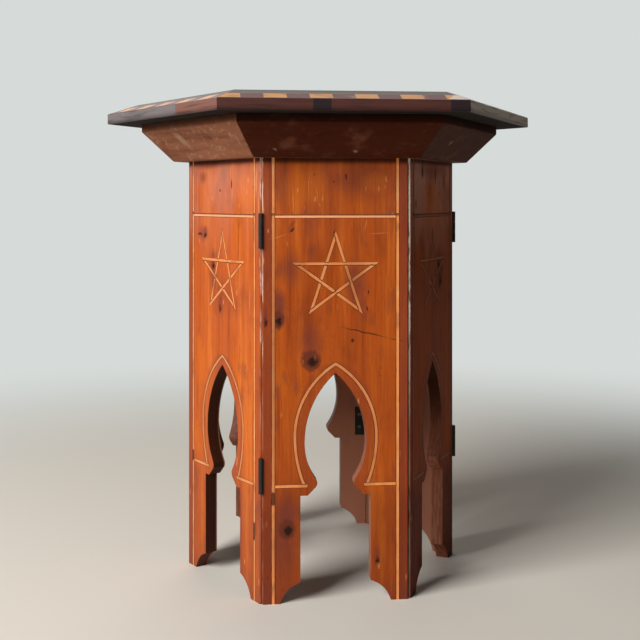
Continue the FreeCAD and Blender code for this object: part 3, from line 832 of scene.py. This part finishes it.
def stained_apron(settings, panel):
    """Return an apron board's brown stained wood, with level grain, dents, scuffs and rubbed places."""
    step = PANELS.index(panel)
    seed = 90.0 + 1.9 * step
    wear = WEAR[panel]
    material, tree = new_material(panel + "_stained_apron")
    local, _ = side_coordinates(tree, step)
    up = add(tree, "ShaderNodeSeparateXYZ", {0: local}).outputs[2]
    uneven = ragged(tree, local, 5.0, 3.0, seed)
    streak = grain(tree, local, (120.0, 9.0, 9.0), seed)
    patch = grain(tree, local, (34.0, 34.0, 22.0), seed + 1.0)
    fibre = grain(tree, local, (26.0, 0.9, 0.9), seed + 2.0)
    scrape = grain(tree, uneven, (8.0, 8.0, 4.0), seed + 3.0)
    scuffs = flecks(tree, uneven, (22.0, 7.0, 7.0), 0.22, 0.10)
    dents = flecks(tree, local, (19.0, 19.0, 14.0), 0.14, 0.08)
    # Painted light and shade: the dark apron share also darkens the front and right front aprons for their
    # shade, and leaves the left front one light where the lamp falls.
    paleness = 1.0 - wear.apron
    scuffed = add(tree, "ShaderNodeMapRange", {
        "Value": patch, "From Min": 0.50, "From Max": 0.40, "To Max": 0.30 * paleness})
    # Painted shadow: the black band at the apron's head is the shade under the rim.
    head = apron_high.z * MM
    colour = coat(
        tree, blend(settings.apron, settings.apron_dark, wear.apron),
        (settings.apron_dark, streak, 0.46, 0.68, 0.45),
        (settings.apron_dark, patch, 0.55, 0.75, 0.45),
        (settings.apron, patch, 0.44, 0.30, 0.30),
        (settings.apron_dark, fibre, 0.52, 0.72, 0.30),
        (settings.scuff, scuffs, 0.0, 1.0, scuffed),
        (settings.scuff, scrape, 0.52, 0.80, 0.6 * paleness),
        (settings.scuff, marks_distance(tree, uneven, RUBS[panel]), 1.6, 0.2, 0.36),
        (settings.scuff, dents, 0.0, 1.0, 0.35),
        (settings.grime_and_shade, up, head - 11.0, head - 1.0, 0.75),
    )
    close_material(tree, colour, 0.60, fibre, 0.10, gloss=0.06)
    return material


def plain_softwood(settings):
    """Return the unpolished softwood of the bearers and locating blocks, with level streaks."""
    material, tree = new_material("plain_softwood")
    local, _ = side_coordinates(tree, 0)
    streak = grain(tree, local, (60.0, 60.0, 3.0), 110.0)
    colour = coat(tree, settings.bearer, (settings.apron, streak, 0.40, 0.70, 0.75))
    close_material(tree, colour, 0.75, streak, 0.15)
    return material


def blackened_iron(settings):
    """Return the hinges' blackened iron: dull, pitted and rusty where it has worn."""
    material, tree = new_material("blackened_iron")
    local, _ = side_coordinates(tree, 0)
    pits = grain(tree, local, (1.6, 1.6, 1.6), 120.0)
    patch = grain(tree, local, (8.0, 8.0, 12.0), 121.0)
    colour = coat(tree, settings.iron, (settings.rust, patch, 0.54, 0.72, 0.50))
    roughness = add(tree, "ShaderNodeMapRange", {"Value": pits, "To Min": 0.45, "To Max": 0.75})
    close_material(tree, colour, roughness, pits, 0.08, metallic=0.4)
    return material


def dull_steel(settings):
    """Return the screws' dull turned steel, rusty in its pits."""
    material, tree = new_material("dull_steel")
    local, _ = side_coordinates(tree, 0)
    pits = grain(tree, local, (0.8, 0.8, 0.8), 130.0)
    colour = coat(tree, settings.steel, (settings.rust, pits, 0.50, 0.75, 0.50))
    close_material(tree, colour, 0.5, pits, 0.03, metallic=0.9)
    return material


# Shared steps of the operators.


def put(name, data):
    """Return a new object that stands in the scene."""
    item = bpy.data.objects.new(name, data)
    bpy.context.scene.collection.objects.link(item)
    return item


def plain_mesh(name, shape):
    """Return a mesh with the form of an edited shape, which is given up."""
    mesh = bpy.data.meshes.new(name)
    shape.to_mesh(mesh)
    shape.free()
    return mesh


def dress(names, material):
    """Give CAD nodes a material."""
    for name in names:
        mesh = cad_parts[name].data
        mesh.materials.clear()
        mesh.materials.append(material)


def soften(piece, width):
    """Round the sharp edges of a piece a little, as handling does."""
    weld = piece.modifiers.new("weld", "WELD")
    weld.merge_threshold = SAME_PLANE
    bevel = piece.modifiers.new("soft_edges", "BEVEL")
    bevel.width = width
    bevel.segments = 2
    bevel.limit_method = "ANGLE"
    bevel.angle_limit = SHARP


def merged_copy(name):
    """Return a shape to edit, a copy of a CAD node whose triangles are joined."""
    shape = bmesh.new()
    shape.from_mesh(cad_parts[name].data)
    bmesh.ops.remove_doubles(shape, verts=shape.verts, dist=SAME_POINT)
    return shape


def panel_turn(panel):
    """Return the turn about the table's axis from the front side to a panel's side."""
    return Matrix.Rotation(TURN * PANELS.index(panel), 3, "Z")


def lipped_apron(panel, lip_height):
    """Return an apron board whose canted face ends under the rim in a low upright edge.

    Its foot, its head and its mitres are those of the CAD board.
    """
    board = merged_copy(panel + "_apron")
    bmesh.ops.dissolve_limit(board, angle_limit=FLAT, verts=board.verts, edges=board.edges)
    lip_foot = apron_high.z - lip_height
    bmesh.ops.bisect_plane(
        board, geom=board.verts[:] + board.edges[:] + board.faces[:], plane_co=(0.0, 0.0, lip_foot),
        plane_no=UPWARD)
    outward = panel_turn(panel) @ OUTWARD
    along = panel_turn(panel) @ ALONG
    reach = max(vert.co.dot(outward) for vert in board.verts)
    ring = [vert for vert in board.verts if abs(vert.co.z - lip_foot) < SAME_PLANE]
    face = max(vert.co.dot(outward) for vert in ring)
    for vert in ring:
        if vert.co.dot(outward) > face - SAME_PLANE:
            mitre = math.copysign(math.tan(TURN / 2), vert.co.dot(along))
            vert.co += (reach - face) * (outward + mitre * along)
    name = panel + "_lipped_apron"
    return put(name, plain_mesh(name, board))


def node_group(name, inputs):
    """Return an empty geometry tree with named inputs, and the node that gives them."""
    group = bpy.data.node_groups.new(name, "GeometryNodeTree")
    group.interface.new_socket("Geometry", in_out="INPUT", socket_type="NodeSocketGeometry")
    for label, kind in inputs:
        group.interface.new_socket(label, in_out="INPUT", socket_type=kind)
    group.interface.new_socket("Geometry", in_out="OUTPUT", socket_type="NodeSocketGeometry")
    return group, add(group, "NodeGroupInput")


def grow(name, mesh, group, values):
    """Run a geometry tree on a mesh and return the result as a plain mesh object."""
    source = put(name + "_source", mesh)
    modifier = source.modifiers.new("grow", "NODES")
    modifier.node_group = group
    for item in group.interface.items_tree:
        if item.in_out == "INPUT" and item.name in values:
            modifier[item.identifier] = values[item.name]
    evaluated = source.evaluated_get(bpy.context.evaluated_depsgraph_get())
    result = bpy.data.meshes.new_from_object(evaluated)
    if not result.polygons:
        raise RuntimeError(name + " came out empty")
    source.modifiers.remove(modifier)
    bpy.data.objects.remove(source)
    return put(name, result)


def glue_line_tree():
    """Return the tree that runs a fine line along the edges it is given."""
    inputs = [("Width", "NodeSocketFloat"), ("Material", "NodeSocketMaterial")]
    group, given = node_group("glue_lines", inputs)
    take = given.outputs
    path = add(group, "GeometryNodeMeshToCurve", {"Mesh": take["Geometry"]})
    half = add(group, "ShaderNodeMath", {0: take["Width"], 1: 0.5}, operation="MULTIPLY")
    section = add(group, "GeometryNodeCurvePrimitiveCircle", {"Resolution": 6, "Radius": half})
    line = add(group, "GeometryNodeCurveToMesh", {"Curve": path, "Profile Curve": section, "Fill Caps": True})
    whole = add(group, "GeometryNodeRealizeInstances", {0: line})
    dressed = add(group, "GeometryNodeSetMaterial", {"Geometry": whole, "Material": take["Material"]})
    add(group, "NodeGroupOutput", {0: dressed})
    return group


def inlay_rims(spreads, outward, sink):
    """Return the edges round the shown faces of inlaid strips, set a little below and outside them.

    The spreads say how far outside, for each node. A face is shown where it looks nearly straight outward.
    A panel's strings run out at the floor and at the board's head, where they have no line.
    """
    shown = 0.9
    rims = bmesh.new()
    board_ends = (front_low.z, front_high.z)
    for name, spread in spreads.items():
        strips = merged_copy(name)
        strips.normal_update()
        edges = []
        sideways = {}
        for edge in strips.edges:
            hidden = [face.normal for face in edge.link_faces if face.normal.dot(outward) < shown]
            at_end = any(all(abs(vert.co.z - end) < sink for vert in edge.verts) for end in board_ends)
            if len(hidden) == 1 and not at_end:
                edges.append(edge)
                for vert in edge.verts:
                    sideways[vert] = sideways.get(vert, Vector()) + hidden[0]
        for edge in edges:
            ends = [vert.co - outward * sink + sideways[vert].normalized() * spread for vert in edge.verts]
            rims.edges.new([rims.verts.new(end) for end in ends])
        strips.free()
    bmesh.ops.remove_doubles(rims, verts=rims.verts, dist=SAME_POINT)
    return plain_mesh("rims", rims)


def screw_tree(sizes):
    """Return the tree that sets a slotted countersunk screw on each point, along its drive direction.

    Its inputs are named as the sizes are.
    """
    inputs = [(label, "NodeSocketFloat") for label in sizes]
    group, given = node_group("slotted_screws", inputs + [("Material", "NodeSocketMaterial")])
    take = given.outputs
    round_sides = 24
    head = add(group, "GeometryNodeMeshCone", {
        "Vertices": round_sides, "Radius Top": take["Shank radius"], "Radius Bottom": take["Head radius"],
        "Depth": take["Head depth"]})
    shank_depth = add(group, "ShaderNodeMath", {
        0: take["Screw length"], 1: take["Head depth"]}, operation="SUBTRACT")
    shank = add(group, "GeometryNodeMeshCone", {
        "Vertices": round_sides, "Radius Top": take["Point radius"], "Radius Bottom": take["Shank radius"],
        "Depth": shank_depth})
    neck = add(group, "ShaderNodeCombineXYZ", {2: take["Head depth"]})
    lower = add(group, "GeometryNodeTransform", {"Geometry": shank, "Translation": neck})
    across = add(group, "ShaderNodeMath", {0: take["Head radius"], 1: 3.0}, operation="MULTIPLY")
    twice = add(group, "ShaderNodeMath", {0: take["Slot depth"], 1: 2.0}, operation="MULTIPLY")
    slot_size = add(group, "ShaderNodeCombineXYZ", {0: across, 1: take["Slot width"], 2: twice})
    slot = add(group, "GeometryNodeMeshCube", {"Size": slot_size})
    slotted = add(group, "GeometryNodeMeshBoolean", {"Mesh 1": head, "Mesh 2": slot}, operation="DIFFERENCE")
    screw = add(group, "GeometryNodeJoinGeometry", {0: slotted})
    group.links.new(lower.outputs[0], screw.inputs[0])
    drive = add(group, "GeometryNodeInputNamedAttribute", {"Name": "drive"}, data_type="FLOAT_VECTOR")
    aim = add(group, "FunctionNodeAlignRotationToVector", {"Vector": drive}, axis="Z")
    spin = add(group, "FunctionNodeRandomValue", {"Min": 0.0, "Max": math.pi, "Seed": 5}, data_type="FLOAT")
    about = add(group, "FunctionNodeAxisAngleToRotation", {"Axis": UPWARD, "Angle": spin.outputs[1]})
    turn = add(group, "FunctionNodeRotateRotation", {
        "Rotation": aim, "Rotate By": about}, rotation_space="LOCAL")
    placed = add(group, "GeometryNodeInstanceOnPoints", {
        "Points": take["Geometry"], "Instance": screw, "Rotation": turn})
    whole = add(group, "GeometryNodeRealizeInstances", {0: placed})
    dressed = add(group, "GeometryNodeSetMaterial", {"Geometry": whole, "Material": take["Material"]})
    add(group, "NodeGroupOutput", {0: dressed})
    return group


def screw_points(panel):
    """Return points at the middles of a panel's screw heads, each with the way that it is driven."""
    screws = merged_copy(panel + "_hinge_screws")
    places = []
    drives = []
    found = set()
    for first in screws.verts:
        if first in found:
            continue
        found.add(first)
        island = [first]
        for vert in island:
            for edge in vert.link_edges:
                other = edge.other_vert(vert)
                if other not in found:
                    found.add(other)
                    island.append(other)
        middle = sum((vert.co for vert in island), Vector()) / len(island)
        reaches = [vert.co - middle for vert in island]
        drive = max(reaches, key=lambda reach: reach.length).normalized()
        places.append(middle + drive * min(reach.dot(drive) for reach in reaches))
        drives.append(drive)
    screws.free()
    mesh = bpy.data.meshes.new(panel + "_screw_points")
    mesh.from_pydata(places, [], [])
    attribute = mesh.attributes.new("drive", "FLOAT_VECTOR", "POINT")
    for index, drive in enumerate(drives):
        attribute.data[index].vector = drive
    return mesh


def showing_rays(tree, direction):
    """Return 1 for the rays that show the backdrop: straight to the camera, through glass or by gloss.

    The backdrop stands behind the table, so gloss shows it only there.
    """
    path = add(tree, "ShaderNodeLightPath")
    heading = add(tree, "ShaderNodeVectorMath", {0: direction}, operation="NORMALIZE")
    back = add(tree, "ShaderNodeSeparateXYZ", {0: heading}).outputs[1]
    behind = add(tree, "ShaderNodeMapRange", {
        "Value": back, "From Min": 0.7, "From Max": 1.0, "To Max": path.outputs["Is Glossy Ray"],
    }, interpolation_type="SMOOTHSTEP")
    direct = add(tree, "ShaderNodeMath", {
        0: path.outputs["Is Camera Ray"], 1: path.outputs["Is Transmission Ray"]}, operation="MAXIMUM")
    return add(tree, "ShaderNodeMath", {0: direct, 1: behind}, operation="MAXIMUM")


# The operators.


class TABLE_OT_dress_panels(bpy.types.Operator):
    """Give each panel's board its varnished wood"""

    bl_idname = "folding_table.dress_panels"
    bl_label = "Dress the Panels"

    def execute(self, context):
        settings = context.scene.folding_table.panel_wood
        for panel in PANELS:
            dress([panel + "_board"], varnished_softwood(settings, panel))
        return {"FINISHED"}


class TABLE_OT_dress_inlay(bpy.types.Operator):
    """Give the strings and stars their pale wood, and run dark glue lines round them"""

    bl_idname = "folding_table.dress_inlay"
    bl_label = "Dress the Inlay"

    def execute(self, context):
        settings = context.scene.folding_table.inlay
        group = glue_line_tree()
        values = {"Width": settings.glue_width, "Material": glue_line(settings)}
        sink = settings.glue_sink * settings.glue_width
        by_string = settings.by_string * settings.glue_width
        by_star = settings.by_star * settings.glue_width
        for panel in PANELS:
            spreads = {
                panel + "_border_strings": by_string,
                panel + "_arch_string": by_string,
                panel + "_star": by_star,
            }
            dress(spreads, string_wood(settings, panel + "_string_wood", panel))
            rims = inlay_rims(spreads, panel_turn(panel) @ OUTWARD, sink)
            lines = grow(panel + "_glue_lines", rims, group, values)
            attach(lines, panel + "_panel")
        spreads = {"field_strings": by_string, "field_star": by_star}
        dress(spreads, string_wood(settings, "field_string_wood", "front"))
        lines = grow("field_glue_lines", inlay_rims(spreads, UPWARD, sink), group, values)
        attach(lines, "top")
        return {"FINISHED"}


class TABLE_OT_dress_hinges(bpy.types.Operator):
    """Give the hinge leaves and pins their blackened iron"""

    bl_idname = "folding_table.dress_hinges"
    bl_label = "Dress the Hinges"

    def execute(self, context):
        settings = context.scene.folding_table.hinge
        names = [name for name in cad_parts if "_hinge_" in name and "screws" not in name]
        dress(names, blackened_iron(settings))
        for name in names:
            soften(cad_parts[name], settings.soft_edge)
        return {"FINISHED"}


class TABLE_OT_hinge_screws(bpy.types.Operator):
    """Put slotted screws in the hinge leaves"""

    bl_idname = "folding_table.hinge_screws"
    bl_label = "Hinge Screws"

    def execute(self, context):
        settings = context.scene.folding_table.hinge
        sizes = {
            "Head radius": settings.head_radius,
            "Shank radius": settings.shank_radius,
            "Point radius": settings.point_radius,
            "Head depth": settings.head_depth,
            "Screw length": settings.screw_length,
            "Slot width": settings.slot_width,
            "Slot depth": settings.slot_depth,
        }
        group = screw_tree(sizes)
        values = {**sizes, "Material": dull_steel(settings)}
        for panel in PANELS:
            screws = grow(panel + "_slotted_screws", screw_points(panel), group, values)
            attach(screws, panel + "_panel")
            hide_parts(panel + "_hinge_screws")
        return {"FINISHED"}


class TABLE_OT_dress_top(bpy.types.Operator):
    """Give the top, its rim, its chequer band and its hidden blocks their woods"""

    bl_idname = "folding_table.dress_top"
    bl_label = "Dress the Top"

    def execute(self, context):
        settings = context.scene.folding_table.top
        dress(["top_board"], stained_top(settings))
        dress(["rim_lippings"], dark_lipping(settings))
        soften(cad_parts["rim_lippings"], settings.soft_edge)
        light = chequer_wood(settings, "pale_chequer_wood", settings.chequer_light, 100.0)
        dark = chequer_wood(settings, "dark_chequer_wood", settings.chequer_dark, 104.0)
        dress(["chequer_light_blocks"], light)
        dress(["chequer_dark_blocks"], dark)
        dress(["bearers", "locating_blocks"], plain_softwood(settings))
        return {"FINISHED"}


class TABLE_OT_apron_boards(bpy.types.Operator):
    """Put apron boards with an upright edge under the rim"""

    bl_idname = "folding_table.apron_boards"
    bl_label = "Apron Boards"

    def execute(self, context):
        settings = context.scene.folding_table.top
        for panel in PANELS:
            apron = lipped_apron(panel, settings.lip_height)
            apron.data.materials.append(stained_apron(settings, panel))
            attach(apron, "top")
            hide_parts(panel + "_apron")
            soften(apron, settings.soft_edge)
        return {"FINISHED"}


class TABLE_OT_stage(bpy.types.Operator):
    """Set up the floor, the light and the camera"""

    bl_idname = "folding_table.stage"
    bl_label = "Floor, Light and Camera"

    def execute(self, context):
        settings = context.scene.folding_table.stage
        self.floor(settings)
        self.world(context.scene, settings)
        self.lamp(
            "key", settings.key_power, settings.key_size, settings.key_bearing, settings.key_height,
            settings.distance)
        self.lamp(
            "bounce", settings.bounce_power, settings.bounce_size, settings.bounce_bearing,
            settings.bounce_height, settings.distance)
        self.camera(context.scene, settings)
        context.scene.view_settings.view_transform = "Standard"
        return {"FINISHED"}

    def floor(self, settings):
        """Lay a wide pale floor that runs out into the backdrop's colour."""
        shape = bmesh.new()
        bmesh.ops.create_circle(shape, cap_ends=True, segments=64, radius=settings.floor_radius)
        floor = put("floor", plain_mesh("floor", shape))
        material, tree = new_material("pale_floor")
        place = add(tree, "ShaderNodeTexCoord").outputs["Object"]
        far = add(tree, "ShaderNodeVectorMath", {0: place}, operation="LENGTH").outputs["Value"]
        matt = add(tree, "ShaderNodeBsdfDiffuse", {"Color": settings.floor})
        glow = add(tree, "ShaderNodeEmission", {"Color": settings.backdrop, "Strength": 1.0})
        share = add(tree, "ShaderNodeMapRange", {
            "Value": far, "From Min": settings.fade_start, "From Max": settings.fade_end,
            "To Max": showing_rays(tree, place),
        }, interpolation_type="SMOOTHSTEP")
        mixed = add(tree, "ShaderNodeMixShader", {0: share, 1: matt, 2: glow})
        add(tree, "ShaderNodeOutputMaterial", {"Surface": mixed})
        floor.data.materials.append(material)

    def world(self, scene, settings):
        """Light the table evenly from all round, and show the pale backdrop behind it."""
        world = bpy.data.worlds.new("studio")
        world.use_nodes = True
        tree = world.node_tree
        tree.nodes.clear()
        direction = add(tree, "ShaderNodeTexCoord").outputs["Generated"]
        light = add(tree, "ShaderNodeBackground", {"Color": settings.fill_colour, "Strength": settings.fill})
        shown = add(tree, "ShaderNodeBackground", {"Color": settings.backdrop, "Strength": 1.0})
        mixed = add(tree, "ShaderNodeMixShader", {0: showing_rays(tree, direction), 1: light, 2: shown})
        add(tree, "ShaderNodeOutputWorld", {"Surface": mixed})
        scene.world = world

    def lamp(self, name, power, size, bearing, height, distance):
        """Hang a large soft lamp, aimed at the table."""
        data = bpy.data.lights.new(name, "AREA")
        data.energy = power
        data.size = size
        lamp = put(name, data)
        target = Vector((0.0, 0.0, rim_low.z / 2))
        level = distance * math.cos(height)
        lamp.location = target + Vector((
            level * math.cos(bearing), level * math.sin(bearing), distance * math.sin(height)))
        lamp.rotation_euler = (target - lamp.location).to_track_quat("-Z", "Y").to_euler()

    def camera(self, scene, settings):
        """Stand a level camera in front of the table, with its view lowered."""
        data = bpy.data.cameras.new("camera")
        data.lens = settings.lens
        data.shift_y = -settings.drop
        camera = put("camera", data)
        camera.location = settings.eye
        camera.rotation_euler = (math.pi / 2, 0.0, -settings.heading)
        scene.camera = camera


class TABLE_PT_sidebar(bpy.types.Panel):
    """Lists the table's steps and settings"""

    bl_idname = "TABLE_PT_sidebar"
    bl_label = "Folding Table"
    bl_space_type = "VIEW_3D"
    bl_region_type = "UI"
    bl_category = "Folding Table"

    def draw(self, context):
        settings = context.scene.folding_table
        for group_name in settings.__annotations__:
            group = getattr(settings, group_name)
            box = self.layout.box()
            box.label(text=settings.bl_rna.properties[group_name].name)
            for name in group.__annotations__:
                box.prop(group, name)
        for operator in OPERATORS:
            self.layout.operator(operator.bl_idname)


GROUPS = (PanelWoodSettings, InlaySettings, TopSettings, HingeSettings, StageSettings, FoldingTableSettings)
OPERATORS = (
    TABLE_OT_dress_panels,
    TABLE_OT_dress_inlay,
    TABLE_OT_dress_hinges,
    TABLE_OT_hinge_screws,
    TABLE_OT_dress_top,
    TABLE_OT_apron_boards,
    TABLE_OT_stage,
)
CLASSES = GROUPS + OPERATORS + (TABLE_PT_sidebar,)


def register():
    """Register the classes and the scene's settings."""
    for cls in CLASSES:
        bpy.utils.register_class(cls)
    bpy.types.Scene.folding_table = bpy.props.PointerProperty(name="Folding Table", type=FoldingTableSettings)


def unregister():
    """Remove the settings and the classes."""
    del bpy.types.Scene.folding_table
    for cls in reversed(CLASSES):
        bpy.utils.unregister_class(cls)


def main():
    """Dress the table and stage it."""
    register()
    bpy.ops.folding_table.dress_panels()
    bpy.ops.folding_table.dress_inlay()
    bpy.ops.folding_table.dress_hinges()
    bpy.ops.folding_table.hinge_screws()
    bpy.ops.folding_table.dress_top()
    bpy.ops.folding_table.apron_boards()
    bpy.ops.folding_table.stage()


if __name__ == "__main__":
    main()
